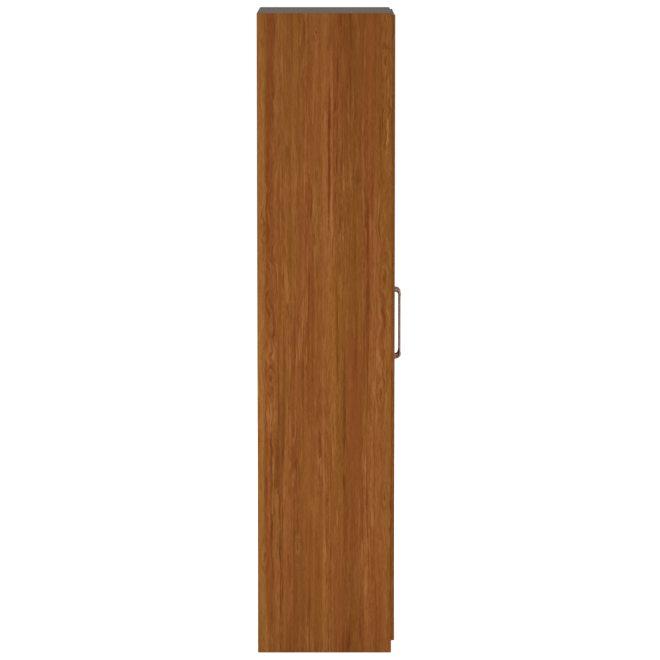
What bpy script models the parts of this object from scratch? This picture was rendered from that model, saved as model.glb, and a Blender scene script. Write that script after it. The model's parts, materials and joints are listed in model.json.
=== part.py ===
"""Narrow two-door wardrobe: a laminate carcass with half-inset slab doors on pivot hinges.

Metres, +Z up. The front faces -Y and X runs across the width. The origin is on the floor, at the middle
of the overall width and depth.
"""

import math

import bmesh
import bpy
from mathutils import Matrix, Vector

# Overall sizes
HEIGHT = 2.032
WIDTH = 0.610
CARCASS_DEPTH = 0.424
BOARD = 0.018
CLEARANCE = 0.0003

# Back panel, in grooves round the inside of the carcass
BACK_BOARD = 0.004
BACK_INSET = 0.010
GROOVE_DEPTH = 0.006

# Doors, let into a rebate round the carcass front
DOOR_BOARD = 0.018
DOOR_PROUD = 0.010
DOOR_TOP_DROP = 0.008
DOOR_FLOOR_GAP = 0.040
DOOR_MEETING_GAP = 0.003
DOOR_SIDE_GAP = 0.002
DOOR_SEAT_GAP = 0.003
DOOR_BOTTOM_LAP = 0.008
REBATE_WIDTH = 0.010

# Base
HOUSING_DEPTH = 0.006
HOUSING_STOP = 0.024
PLINTH_SETBACK = 0.040
PLINTH_FLOOR_GAP = 0.002

# Pivot hinges
PIVOT_FROM_EDGE = 0.0065
PIVOT_FROM_FACE = 0.005
PIVOT_PLATE = 0.002
PIVOT_PLATE_NOSE = 0.0058
PIVOT_PLATE_LENGTH = 0.036
PIVOT_FLANGE_START = 0.009
PIVOT_PIN_RADIUS = 0.002
PIVOT_PIN_LENGTH = 0.009
PIVOT_RUNNING_GAP = 0.00015
BUSH_WALL = 0.0009
BUSH_LENGTH = 0.010
PIVOT_SCREW_INSET = 0.006
PIVOT_SCREW_LENGTH = 0.016

# Wood screws with a countersunk head
SCREW_HEAD_RADIUS = 0.0028
SCREW_HEAD_HEIGHT = 0.0012
SCREW_RADIUS = 0.0014

# Bow handles
HANDLE_LENGTH = 0.227
HANDLE_CENTRE_HEIGHT = 1.024
HANDLE_FROM_MEETING_EDGE = 0.0385
HANDLE_PROJECTION = 0.025
HANDLE_LEG_RADIUS = 0.005
HANDLE_GRIP_RADIUS = 0.0034
HANDLE_LEG_STRAIGHT = 0.0075
HANDLE_TAPER_LENGTH = 0.008
HANDLE_BORE_DEPTH = 0.008
HANDLE_SCREW_RADIUS = 0.0019
HANDLE_SCREW_HEAD_RADIUS = 0.004
HANDLE_SCREW_HEAD_HEIGHT = 0.0022

# Magnetic catches under the top panel
CATCH_FROM_MEETING_EDGE = 0.030
CATCH_SIZE = Vector((0.044, 0.016, 0.015))
CATCH_WALL = 0.003
CATCH_AIR_GAP = 0.0007
STRIKE_SIZE = Vector((0.036, 0.0015, 0.012))
STRIKE_SCREW_LENGTH = 0.012
PEG_RADIUS = 0.003
PEG_LENGTH = 0.008
PEG_INSET = 0.006

# Rubber bumpers behind the doors
BUMPER_RADIUS = 0.0035
BUMPER_FROM_MEETING_EDGE = 0.012

# Hat shelf on four pins
HAT_SPACE = 0.296
SHELF_SETBACK = 0.030
SHELF_GAP = 0.001
SHELF_PIN_INSET = 0.050
SHELF_PIN_RADIUS = 0.0025
SHELF_PIN_DEPTH = 0.010
SHELF_STUB_RADIUS = 0.0035
SHELF_STUB_LENGTH = 0.010

# Hanging rail, front to back under the shelf
RAIL_RADIUS = 0.0125
RAIL_WALL = 0.0015
RAIL_DROP = 0.045
RAIL_END_INSET = 0.040
RAIL_CUP_WALL = 0.003
RAIL_CUP_LENGTH = 0.014
RAIL_PLATE_LENGTH = 0.050
RAIL_PLATE_DEPTH = 0.010
RAIL_PLATE_THICKNESS = 0.003
RAIL_WEB_WIDTH = 0.016
RAIL_WEB_THICKNESS = 0.005

# Cam connectors between the top panel and the sides
CAM_RADIUS = 0.0075
CAM_HEIGHT = 0.012
CAM_FROM_END = 0.034
CAM_INSET = 0.070
CAM_DRIVE_LENGTH = 0.010
CAM_DRIVE_WIDTH = 0.0018
CAM_DRIVE_DEPTH = 0.0025
CAM_BOLT_RADIUS = 0.0025
CAM_BOLT_HEAD_RADIUS = 0.0035
CAM_BOLT_HEAD_LENGTH = 0.0025
CAM_BOLT_THREAD_RADIUS = 0.003
CAM_BOLT_THREAD_LENGTH = 0.011

# Shape of a low button: where its rim ends and how much of its top is flat
DOME_RIM = 0.4
DOME_FLAT = 0.7

# Facets of round pieces, and the weld and smoothing between them
SMALL_SIDES = 12
ROUND_SIDES = 24
HANDLE_BEVEL_STEPS = 6
HANDLE_BEND_STEPS = 9
HANDLE_TAPER_STEPS = 4
WELD = 0.00001
SMOOTH_BELOW = math.radians(40)

# Places that follow from the sizes
BACK = (CARCASS_DEPTH + DOOR_PROUD + HANDLE_PROJECTION) / 2
FRONT = BACK - CARCASS_DEPTH
INNER = WIDTH / 2 - BOARD
CEILING = HEIGHT - BOARD
BACK_FACE = BACK - BACK_INSET - BACK_BOARD

DOOR_FACE = FRONT - DOOR_PROUD
DOOR_REAR = DOOR_FACE + DOOR_BOARD
REBATE_FLOOR = DOOR_REAR + DOOR_SEAT_GAP
DOOR_OUTER = INNER + REBATE_WIDTH - DOOR_SIDE_GAP
DOOR_INNER = DOOR_MEETING_GAP / 2
DOOR_TOP = HEIGHT - DOOR_TOP_DROP
DOOR_BOTTOM = DOOR_FLOOR_GAP
PIVOT_EDGE_GAP = PIVOT_PLATE + 2 * CLEARANCE
TOP_LEDGE = DOOR_TOP + PIVOT_EDGE_GAP
BOTTOM_LEDGE = DOOR_BOTTOM - PIVOT_EDGE_GAP
BASE_TOP = DOOR_BOTTOM + DOOR_BOTTOM_LAP
BASE_UNDER = BASE_TOP - BOARD

PIVOT_X = DOOR_OUTER - PIVOT_FROM_EDGE
PIVOT_Y = DOOR_FACE + PIVOT_FROM_FACE
BUSH_BORE_RADIUS = PIVOT_PIN_RADIUS + PIVOT_RUNNING_GAP
BUSH_RADIUS = BUSH_BORE_RADIUS + BUSH_WALL

HANDLE_X = DOOR_INNER + HANDLE_FROM_MEETING_EDGE
HANDLE_LEG_OFFSET = HANDLE_LENGTH / 2 - HANDLE_LEG_RADIUS
CATCH_FRONT = DOOR_REAR + CLEARANCE + STRIKE_SIZE.y + CATCH_AIR_GAP
CATCH_MIDDLE = CATCH_FRONT + CATCH_SIZE.y / 2
CATCH_X = DOOR_INNER + CATCH_FROM_MEETING_EDGE
CATCH_HEIGHT = CEILING - CLEARANCE - CATCH_SIZE.z / 2

SHELF_TOP = CEILING - HAT_SPACE
SHELF_UNDER = SHELF_TOP - BOARD
SHELF_FRONT = FRONT + SHELF_SETBACK
SHELF_REAR = BACK_FACE - SHELF_GAP
SHELF_PIN_HEIGHT = SHELF_UNDER - CLEARANCE - SHELF_STUB_RADIUS
SHELF_PIN_PLACES = {"front": SHELF_FRONT + SHELF_PIN_INSET, "rear": SHELF_REAR - SHELF_PIN_INSET}
RAIL_HEIGHT = SHELF_UNDER - RAIL_DROP
RAIL_FRONT = SHELF_FRONT + RAIL_END_INSET
RAIL_REAR = SHELF_REAR - RAIL_END_INSET
CAM_BOLT_HEIGHT = HEIGHT - BOARD / 2
CAM_PLACES = {"front": FRONT + CAM_INSET, "rear": BACK - CAM_INSET}

SIDES = {"left": -1, "right": 1}
BEYOND = 0.01  # how far an open-ended cutter runs past the face that it enters by

# Turns that lay a piece turned about Z along another axis, its head towards the direction named
HEAD_UP = (0, 0, 0)
HEAD_DOWN = (math.pi, 0, 0)
HEAD_FRONT = (math.pi / 2, 0, 0)
HEAD_REAR = (-math.pi / 2, 0, 0)
HEAD_LEFT = (0, -math.pi / 2, 0)
HEAD_RIGHT = (0, math.pi / 2, 0)


# Scene and materials

def start_scene():
    for old in list(bpy.data.objects):
        bpy.data.objects.remove(old, do_unlink=True)
    made = []
    for name in ("wardrobe", "wardrobe_cutters"):
        collection = bpy.data.collections.new(name)
        bpy.context.scene.collection.children.link(collection)
        made.append(collection)
    return made


def linear(level):
    """One sRGB channel, 0 to 255, as linear light."""
    share = level / 255
    return share / 12.92 if share <= 0.04045 else ((share + 0.055) / 1.055) ** 2.4


def make_material(name, colour, roughness, metallic=0.0):
    material = bpy.data.materials.new(name)
    material.use_nodes = True
    shader = material.node_tree.nodes["Principled BSDF"]
    shader.inputs["Base Color"].default_value = (*map(linear, colour), 1)
    shader.inputs["Roughness"].default_value = roughness
    shader.inputs["Metallic"].default_value = metallic
    return material


PARTS, CUTTERS = start_scene()
WOOD = make_material("wood_laminate", (137, 85, 40), 0.45)
GREY = make_material("grey_laminate", (111, 103, 97), 0.55)
HARDBOARD = make_material("hardboard", (150, 112, 76), 0.8)
SATIN_METAL = make_material("satin_metal", (176, 172, 168), 0.3, 1.0)
ZINC = make_material("zinc_plate", (168, 170, 172), 0.38, 1.0)
RAIL_METAL = make_material("rail_metal", (190, 190, 190), 0.22, 1.0)
PLASTIC = make_material("brown_plastic", (84, 58, 38), 0.5)
NYLON = make_material("white_nylon", (222, 220, 212), 0.45)
MAGNET = make_material("ferrite", (52, 52, 54), 0.6)
RUBBER = make_material("clear_rubber", (188, 186, 178), 0.35)


# Making pieces

def add_object(name, data, material, location=(0, 0, 0), rotation=(0, 0, 0), parent=None):
    obj = bpy.data.objects.new(name, data)
    data.materials.append(material)
    PARTS.objects.link(obj)
    obj.location = location
    obj.rotation_euler = rotation
    if parent:
        obj.parent = parent
        obj.matrix_parent_inverse = Matrix.Translation(parent.location).inverted()
    return obj


def box(name, low, high, material, parent=None):
    """A block between two opposite corners, given in the wardrobe's frame."""
    low, high = Vector(low), Vector(high)
    shape = bmesh.new()
    bmesh.ops.create_cube(shape, size=1)
    bmesh.ops.scale(shape, vec=high - low, verts=shape.verts)
    mesh = bpy.data.meshes.new(name)
    shape.to_mesh(mesh)
    shape.free()
    return add_object(name, mesh, material, (low + high) / 2, parent=parent)


def turned(name, profile, material, location, facing=HEAD_UP, sides=SMALL_SIDES, parent=None,
           ring=False):
    """A profile of (radius, height) points, from its top down the outer side, turned about its axis."""
    mesh = bpy.data.meshes.new(name)
    points = [(radius, 0, height) for radius, height in profile]
    edges = [(i, i + 1) for i in range(len(points) - 1)]
    if ring:
        edges.append((len(points) - 1, 0))
    mesh.from_pydata(points, edges, [])
    obj = add_object(name, mesh, material, location, facing, parent)
    screw = obj.modifiers.new("turn", "SCREW")
    screw.steps = sides
    screw.render_steps = sides
    screw.use_merge_vertices = True
    screw.merge_threshold = WELD
    return obj


def rod_profile(radius, top, bottom):
    return [(0, top), (radius, top), (radius, bottom), (0, bottom)]


def combine(target, tool, operation):
    """Joins a tool to the target, or cuts the target by it, and puts the tool with the cutters."""
    tool.name = f"{target.name}_{operation.lower()}_{len(target.modifiers)}"
    tool.hide_render = True
    tool.display_type = "WIRE"
    PARTS.objects.unlink(tool)
    CUTTERS.objects.link(tool)
    modifier = target.modifiers.new(tool.name, "BOOLEAN")
    modifier.operation = operation
    modifier.solver = "EXACT"
    modifier.object = tool


def cut_box(target, low, high):
    combine(target, box("cutter", low, high, WOOD, target.parent), "DIFFERENCE")


def cut_turned(target, profile, location, facing=HEAD_UP, sides=SMALL_SIDES):
    tool = turned("cutter", profile, WOOD, location, facing, sides, target.parent)
    combine(target, tool, "DIFFERENCE")


def join_box(target, low, high):
    combine(target, box("joined", low, high, WOOD, target.parent), "UNION")


def join_turned(target, profile, location, facing=HEAD_UP, sides=SMALL_SIDES):
    tool = turned("joined", profile, WOOD, location, facing, sides, target.parent)
    combine(target, tool, "UNION")


def corners(side, near, far, front, rear, low, high):
    """The low and high corners of a block that lies on one side of the middle."""
    left, right = sorted((side * near, side * far))
    return (left, front, low), (right, rear, high)


def domed(radius, low, high):
    """A low round button between two heights, flat on top and underneath."""
    rim = low + DOME_RIM * (high - low)
    return [(0, high), (DOME_FLAT * radius, high), (radius, rim), (radius, low), (0, low)]


def countersunk(length):
    """A countersunk screw, its head's face at height 0."""
    return [
        (0, 0),
        (SCREW_HEAD_RADIUS, 0),
        (SCREW_RADIUS, -SCREW_HEAD_HEIGHT),
        (SCREW_RADIUS, -length),
        (0, -length),
    ]


def screw_hole(length):
    """The hole for a countersunk screw, open above its head."""
    head = SCREW_HEAD_RADIUS + CLEARANCE
    shank = SCREW_RADIUS + CLEARANCE
    return [
        (0, BEYOND),
        (head, BEYOND),
        (head, 0),
        (shank, -SCREW_HEAD_HEIGHT),
        (shank, -length - CLEARANCE),
        (0, -length - CLEARANCE),
    ]


def peg_places(middle, length):
    """The two places of the pegs of a piece that is held by them."""
    offset = length / 2 - PEG_INSET
    return middle - offset, middle + offset


def add_axis(name, x, y):
    empty = bpy.data.objects.new(name, None)
    PARTS.objects.link(empty)
    empty.location = (x, y, 0)
    return empty


# Carcass boards

def make_side(name, side):
    panel = box(name, *corners(side, INNER, WIDTH / 2, FRONT, BACK, 0, HEIGHT), WOOD)
    # rebate for the door, stopped above the floor and under the top edge
    cut_box(panel, *corners(side, INNER - BEYOND, INNER + REBATE_WIDTH,
                            FRONT - BEYOND, REBATE_FLOOR, BOTTOM_LEDGE, TOP_LEDGE))
    # groove for the back panel
    cut_box(panel, *corners(side, INNER - BEYOND, INNER + GROOVE_DEPTH,
                            BACK_FACE - CLEARANCE, BACK_FACE + BACK_BOARD + CLEARANCE,
                            BASE_TOP - GROOVE_DEPTH, CEILING + GROOVE_DEPTH))
    # housing for the bottom panel, stopped behind the front edge
    cut_box(panel, *corners(side, INNER - BEYOND, INNER + HOUSING_DEPTH,
                            FRONT + HOUSING_STOP, BACK + BEYOND,
                            BASE_UNDER - CLEARANCE, BASE_TOP + CLEARANCE))
    inward = HEAD_RIGHT if side < 0 else HEAD_LEFT
    pin_hole = rod_profile(SHELF_PIN_RADIUS + CLEARANCE, BEYOND, -SHELF_PIN_DEPTH - CLEARANCE)
    for y in SHELF_PIN_PLACES.values():
        cut_turned(panel, pin_hole, (side * INNER, y, SHELF_PIN_HEIGHT), inward)
    bolt_depth = CAM_BOLT_THREAD_LENGTH + CLEARANCE
    bolt_hole = rod_profile(CAM_BOLT_THREAD_RADIUS + CLEARANCE, BEYOND, -bolt_depth)
    for y in CAM_PLACES.values():
        cut_turned(panel, bolt_hole, (side * INNER, y, CAM_BOLT_HEIGHT), inward)


def make_top():
    half = INNER - CLEARANCE
    panel = box("top_panel", (-half, FRONT, CEILING), (half, BACK, HEIGHT), GREY)
    cut_box(panel, (-INNER, FRONT - BEYOND, CEILING - BEYOND), (INNER, REBATE_FLOOR, TOP_LEDGE))
    cut_box(panel, (-INNER, BACK_FACE - CLEARANCE, CEILING - BEYOND),
            (INNER, BACK_FACE + BACK_BOARD + CLEARANCE, CEILING + GROOVE_DEPTH))
    cam_hole = rod_profile(CAM_RADIUS + CLEARANCE, CAM_HEIGHT + 2 * CLEARANCE, -BEYOND)
    bolt_hole = rod_profile(CAM_BOLT_HEAD_RADIUS + CLEARANCE, BEYOND, -CAM_FROM_END)
    peg_hole = rod_profile(PEG_RADIUS + CLEARANCE, PEG_LENGTH + CLEARANCE, -BEYOND)
    for side in SIDES.values():
        outward = HEAD_LEFT if side < 0 else HEAD_RIGHT
        for y in CAM_PLACES.values():
            cut_turned(panel, cam_hole, (side * (half - CAM_FROM_END), y, CEILING), sides=ROUND_SIDES)
            cut_turned(panel, bolt_hole, (side * half, y, CAM_BOLT_HEIGHT), outward)
        for x in peg_places(side * CATCH_X, CATCH_SIZE.x):
            cut_turned(panel, peg_hole, (x, CATCH_MIDDLE, CEILING))
        for place in pivot_screw_places(side, CEILING, TOP_LEDGE, -1):
            cut_turned(panel, screw_hole(PIVOT_SCREW_LENGTH), place, HEAD_FRONT)


def make_bottom():
    half = INNER + HOUSING_DEPTH - CLEARANCE
    panel = box("bottom_panel", (-half, FRONT, BASE_UNDER), (half, BACK, BASE_TOP), WOOD)
    cut_box(panel, (-half - BEYOND, FRONT - BEYOND, BOTTOM_LEDGE),
            (half + BEYOND, REBATE_FLOOR, BASE_TOP + BEYOND))
    cut_box(panel, (-half - BEYOND, BACK_FACE - CLEARANCE, BASE_TOP - GROOVE_DEPTH),
            (half + BEYOND, BACK_FACE + BACK_BOARD + CLEARANCE, BASE_TOP + BEYOND))
    for side in SIDES.values():
        # front corners cut back to where the housings stop
        cut_box(panel, *corners(side, INNER - CLEARANCE, half + BEYOND, FRONT - BEYOND,
                                FRONT + HOUSING_STOP + CLEARANCE, BASE_UNDER - BEYOND, BASE_TOP + BEYOND))
        for place in pivot_screw_places(side, BASE_TOP, BOTTOM_LEDGE, 1):
            cut_turned(panel, screw_hole(PIVOT_SCREW_LENGTH), place, HEAD_FRONT)


def make_back():
    half = INNER + GROOVE_DEPTH - CLEARANCE
    low = BASE_TOP - GROOVE_DEPTH + CLEARANCE
    high = CEILING + GROOVE_DEPTH - CLEARANCE
    box("back_panel", (-half, BACK_FACE, low), (half, BACK_FACE + BACK_BOARD, high), HARDBOARD)


def make_plinths():
    half = INNER - CLEARANCE
    top = BASE_UNDER - CLEARANCE
    front = FRONT + PLINTH_SETBACK
    rear = BACK - BACK_INSET - BOARD
    box("front_plinth", (-half, front, PLINTH_FLOOR_GAP), (half, front + BOARD, top), WOOD)
    box("rear_plinth", (-half, rear, PLINTH_FLOOR_GAP), (half, rear + BOARD, top), WOOD)


# Hat shelf, its pins and the hanging rail

def make_shelf():
    half = INNER - SHELF_GAP
    shelf = box("hat_shelf", (-half, SHELF_FRONT, SHELF_UNDER), (half, SHELF_REAR, SHELF_TOP), WOOD)
    peg_hole = rod_profile(PEG_RADIUS + CLEARANCE, PEG_LENGTH + CLEARANCE, -BEYOND)
    for y in (RAIL_FRONT, RAIL_REAR):
        for x in peg_places(0, RAIL_PLATE_LENGTH):
            cut_turned(shelf, peg_hole, (x, y, SHELF_UNDER))
    pin = [
        (0, SHELF_STUB_LENGTH),
        (SHELF_STUB_RADIUS, SHELF_STUB_LENGTH),
        (SHELF_STUB_RADIUS, CLEARANCE),
        (SHELF_PIN_RADIUS, CLEARANCE),
        (SHELF_PIN_RADIUS, -SHELF_PIN_DEPTH),
        (0, -SHELF_PIN_DEPTH),
    ]
    for word, side in SIDES.items():
        inward = HEAD_RIGHT if side < 0 else HEAD_LEFT
        for place, y in SHELF_PIN_PLACES.items():
            turned(f"shelf_pin_{word}_{place}", pin, ZINC, (side * INNER, y, SHELF_PIN_HEIGHT), inward)


def make_rail():
    bore = RAIL_RADIUS - RAIL_WALL
    half = (RAIL_REAR - RAIL_FRONT) / 2
    middle = (RAIL_FRONT + RAIL_REAR) / 2
    tube = [(RAIL_RADIUS, half), (RAIL_RADIUS, -half), (bore, -half), (bore, half)]
    turned("hanging_rail", tube, RAIL_METAL, (0, middle, RAIL_HEIGHT), HEAD_REAR, ROUND_SIDES,
           ring=True)
    make_rail_bracket("rail_bracket_front", RAIL_FRONT, HEAD_FRONT)
    make_rail_bracket("rail_bracket_rear", RAIL_REAR, HEAD_REAR)


def make_rail_bracket(name, y, outward):
    """A drop bracket: a plate with two pegs under the shelf, a web, and a cup round the rail's end."""
    end = RAIL_CUP_WALL + CLEARANCE
    cup_radius = RAIL_RADIUS + CLEARANCE + RAIL_CUP_WALL
    cup = rod_profile(cup_radius, end, end - RAIL_CUP_LENGTH)
    bracket = turned(name, cup, ZINC, (0, y, RAIL_HEIGHT), outward, ROUND_SIDES)
    plate_top = SHELF_UNDER - CLEARANCE
    plate_middle = plate_top - RAIL_PLATE_THICKNESS / 2
    half_width, half_depth = RAIL_WEB_WIDTH / 2, RAIL_WEB_THICKNESS / 2
    join_box(bracket, (-half_width, y - half_depth, RAIL_HEIGHT),
             (half_width, y + half_depth, plate_middle))
    half_width, half_depth = RAIL_PLATE_LENGTH / 2, RAIL_PLATE_DEPTH / 2
    join_box(bracket, (-half_width, y - half_depth, plate_top - RAIL_PLATE_THICKNESS),
             (half_width, y + half_depth, plate_top))
    peg = rod_profile(PEG_RADIUS, PEG_LENGTH, plate_middle - plate_top)
    for x in peg_places(0, RAIL_PLATE_LENGTH):
        join_turned(bracket, peg, (x, y, plate_top))
    bore = rod_profile(RAIL_RADIUS + CLEARANCE, CLEARANCE, -RAIL_CUP_LENGTH - BEYOND)
    cut_turned(bracket, bore, (0, y, RAIL_HEIGHT), outward, ROUND_SIDES)


# Doors with what they carry

def make_door(word, side):
    axis = add_axis(f"{word}_door_axis", side * PIVOT_X, PIVOT_Y)
    door = box(f"{word}_door", *corners(side, DOOR_INNER, DOOR_OUTER, DOOR_FACE, DOOR_REAR,
                                        DOOR_BOTTOM, DOOR_TOP), WOOD, axis)
    make_bushes(word, side, door)
    make_handle(word, side, door)
    make_strike(word, side, door)
    make_bumpers(word, side, axis)


def make_bushes(word, side, door):
    sleeve = [
        (BUSH_RADIUS, 0),
        (BUSH_RADIUS, -BUSH_LENGTH),
        (BUSH_BORE_RADIUS, -BUSH_LENGTH),
        (BUSH_BORE_RADIUS, 0),
    ]
    hole = rod_profile(BUSH_RADIUS + CLEARANCE, BEYOND, -BUSH_LENGTH - CLEARANCE)
    for end, z, facing in (("top", DOOR_TOP, HEAD_UP), ("bottom", DOOR_BOTTOM, HEAD_DOWN)):
        place = (side * PIVOT_X, PIVOT_Y, z)
        cut_turned(door, hole, place, facing)
        turned(f"{word}_{end}_bush", sleeve, NYLON, place, facing, parent=door.parent, ring=True)


def handle_path():
    """Points (distance out from the door, height above the handle's middle, radius) along one handle."""
    out = HANDLE_PROJECTION - HANDLE_LEG_RADIUS
    bend = out - HANDLE_LEG_STRAIGHT
    half = [(CLEARANCE, HANDLE_LEG_OFFSET, HANDLE_LEG_RADIUS)]
    for step in range(HANDLE_BEND_STEPS + 1):
        angle = math.pi / 2 * step / HANDLE_BEND_STEPS
        height = HANDLE_LEG_OFFSET - bend * (1 - math.cos(angle))
        half.append((HANDLE_LEG_STRAIGHT + bend * math.sin(angle), height, HANDLE_LEG_RADIUS))
    elbow = HANDLE_LEG_OFFSET - bend
    for step in range(1, HANDLE_TAPER_STEPS + 1):
        share = step / HANDLE_TAPER_STEPS
        ease = (1 - math.cos(math.pi * share)) / 2
        radius = HANDLE_LEG_RADIUS + (HANDLE_GRIP_RADIUS - HANDLE_LEG_RADIUS) * ease
        half.append((out, elbow - HANDLE_TAPER_LENGTH * share, radius))
    return half + [(distance, -height, radius) for distance, height, radius in reversed(half)]


def make_handle(word, side, door):
    path = handle_path()
    curve = bpy.data.curves.new(f"{word}_handle_path", "CURVE")
    curve.dimensions = "3D"
    curve.bevel_depth = HANDLE_LEG_RADIUS
    curve.bevel_resolution = HANDLE_BEVEL_STEPS
    curve.use_fill_caps = True
    spline = curve.splines.new("POLY")
    spline.points.add(len(path) - 1)
    for point, (distance, height, radius) in zip(spline.points, path):
        point.co = (0, -distance, height, 1)
        point.radius = radius / HANDLE_LEG_RADIUS
    place = Vector((side * HANDLE_X, DOOR_FACE, HANDLE_CENTRE_HEIGHT))
    handle = mesh_of_curve(f"{word}_handle", curve, SATIN_METAL, place, door.parent)

    screw_reach = HANDLE_BORE_DEPTH - CLEARANCE
    bore = rod_profile(HANDLE_SCREW_RADIUS + CLEARANCE, BEYOND, -HANDLE_BORE_DEPTH)
    door_hole = rod_profile(HANDLE_SCREW_RADIUS + CLEARANCE, BEYOND, -DOOR_BOARD - BEYOND)
    head = domed(HANDLE_SCREW_HEAD_RADIUS, CLEARANCE, CLEARANCE + HANDLE_SCREW_HEAD_HEIGHT)
    shank = rod_profile(HANDLE_SCREW_RADIUS, CLEARANCE, -DOOR_BOARD - screw_reach)
    screw = head[:-1] + shank[1:]
    for end, offset in (("upper", HANDLE_LEG_OFFSET), ("lower", -HANDLE_LEG_OFFSET)):
        height = HANDLE_CENTRE_HEIGHT + offset
        cut_turned(handle, bore, (side * HANDLE_X, DOOR_FACE, height), HEAD_REAR)
        cut_turned(door, door_hole, (side * HANDLE_X, DOOR_REAR, height), HEAD_REAR)
        turned(f"{word}_handle_screw_{end}", screw, ZINC, (side * HANDLE_X, DOOR_REAR, height),
               HEAD_REAR, parent=door.parent)


def mesh_of_curve(name, curve, material, location, parent):
    """A curve's tube as a mesh with its end caps welded on."""
    guide = bpy.data.objects.new(name, curve)
    PARTS.objects.link(guide)
    bpy.context.view_layer.update()
    mesh = bpy.data.meshes.new_from_object(guide.evaluated_get(bpy.context.evaluated_depsgraph_get()))
    bpy.data.objects.remove(guide, do_unlink=True)
    shape = bmesh.new()
    shape.from_mesh(mesh)
    bmesh.ops.remove_doubles(shape, verts=shape.verts, dist=WELD)
    shape.to_mesh(mesh)
    shape.free()
    mesh.shade_smooth()
    mesh.set_sharp_from_angle(angle=SMOOTH_BELOW)
    return add_object(name, mesh, material, location, parent=parent)


def make_strike(word, side, door):
    half = STRIKE_SIZE / 2
    middle = Vector((side * CATCH_X, DOOR_REAR + CLEARANCE + half.y, CATCH_HEIGHT))
    strike = box(f"{word}_strike_plate", middle - half, middle + half, ZINC, door.parent)
    place = (middle.x, middle.y + half.y, middle.z)
    hole = screw_hole(STRIKE_SCREW_LENGTH)
    cut_turned(strike, hole, place, HEAD_REAR)
    cut_turned(door, hole, place, HEAD_REAR)
    turned(f"{word}_strike_screw", countersunk(STRIKE_SCREW_LENGTH), ZINC, place, HEAD_REAR,
           parent=door.parent)


def make_bumpers(word, side, axis):
    dome = domed(BUMPER_RADIUS, CLEARANCE, DOOR_SEAT_GAP - CLEARANCE)
    x = side * (DOOR_INNER + BUMPER_FROM_MEETING_EDGE)
    top = (CEILING + DOOR_TOP) / 2
    bottom = (DOOR_BOTTOM + BASE_TOP) / 2
    for end, z in (("top", top), ("bottom", bottom)):
        turned(f"{word}_{end}_bumper", dome, RUBBER, (x, DOOR_REAR, z), HEAD_REAR, parent=axis)


# Pivot hinges

def pivot_screw_places(side, board_face, ledge, lift):
    """The head faces of a bracket's two screws; lift says which way the flange runs from the ledge."""
    plate_face = ledge + lift * (CLEARANCE + PIVOT_PLATE)
    z = (plate_face + board_face) / 2
    y = REBATE_FLOOR - CLEARANCE - PIVOT_PLATE
    inner_end = PIVOT_X - PIVOT_PLATE_LENGTH + PIVOT_SCREW_INSET
    outer_end = PIVOT_X - PIVOT_FLANGE_START - PIVOT_SCREW_INSET
    return [(side * x, y, z) for x in (inner_end, outer_end)]


def make_pivot(word, side, end, board_face, ledge, lift):
    """A bracket in the rebate: a plate by the ledge, a flange on the rebate's floor and a pin."""
    plate = sorted((ledge + lift * CLEARANCE, ledge + lift * (CLEARANCE + PIVOT_PLATE)))
    flange = sorted((ledge + lift * CLEARANCE, board_face - lift * CLEARANCE))
    rear = REBATE_FLOOR - CLEARANCE
    inner_end = PIVOT_X - PIVOT_PLATE_LENGTH
    name = f"{word}_{end}_pivot"
    bracket = box(name, *corners(side, inner_end, PIVOT_X + PIVOT_PLATE_NOSE,
                                 DOOR_FACE + CLEARANCE, rear, *plate), ZINC)
    join_box(bracket, *corners(side, inner_end, PIVOT_X - PIVOT_FLANGE_START,
                               rear - PIVOT_PLATE, rear, *flange))
    plate_face = ledge + lift * (CLEARANCE + PIVOT_PLATE)
    pin = rod_profile(PIVOT_PIN_RADIUS, PIVOT_PLATE / 2, -PIVOT_PIN_LENGTH)
    facing = HEAD_UP if lift < 0 else HEAD_DOWN
    join_turned(bracket, pin, (side * PIVOT_X, PIVOT_Y, plate_face), facing)
    places = pivot_screw_places(side, board_face, ledge, lift)
    for count, place in enumerate(places, 1):
        cut_turned(bracket, screw_hole(PIVOT_SCREW_LENGTH), place, HEAD_FRONT)
        turned(f"{name}_screw_{count}", countersunk(PIVOT_SCREW_LENGTH), ZINC, place, HEAD_FRONT)


# Magnetic catches

def make_catch(word, side):
    half = CATCH_SIZE / 2
    middle = Vector((side * CATCH_X, CATCH_MIDDLE, CATCH_HEIGHT))
    housing = box(f"{word}_catch_housing", middle - half, middle + half, PLASTIC)
    peg = rod_profile(PEG_RADIUS, PEG_LENGTH, -CATCH_WALL)
    for x in peg_places(middle.x, CATCH_SIZE.x):
        join_turned(housing, peg, (x, middle.y, CEILING - CLEARANCE))
    pocket = half - Vector((CATCH_WALL, CATCH_WALL, CATCH_WALL))
    cut_box(housing, (middle.x - pocket.x, CATCH_FRONT - BEYOND, middle.z - pocket.z), middle + pocket)
    block = pocket - Vector((CLEARANCE, CLEARANCE, CLEARANCE))
    box(f"{word}_catch_magnet", (middle.x - block.x, CATCH_FRONT, middle.z - block.z),
        middle + block, MAGNET)


# Cam connectors

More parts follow.
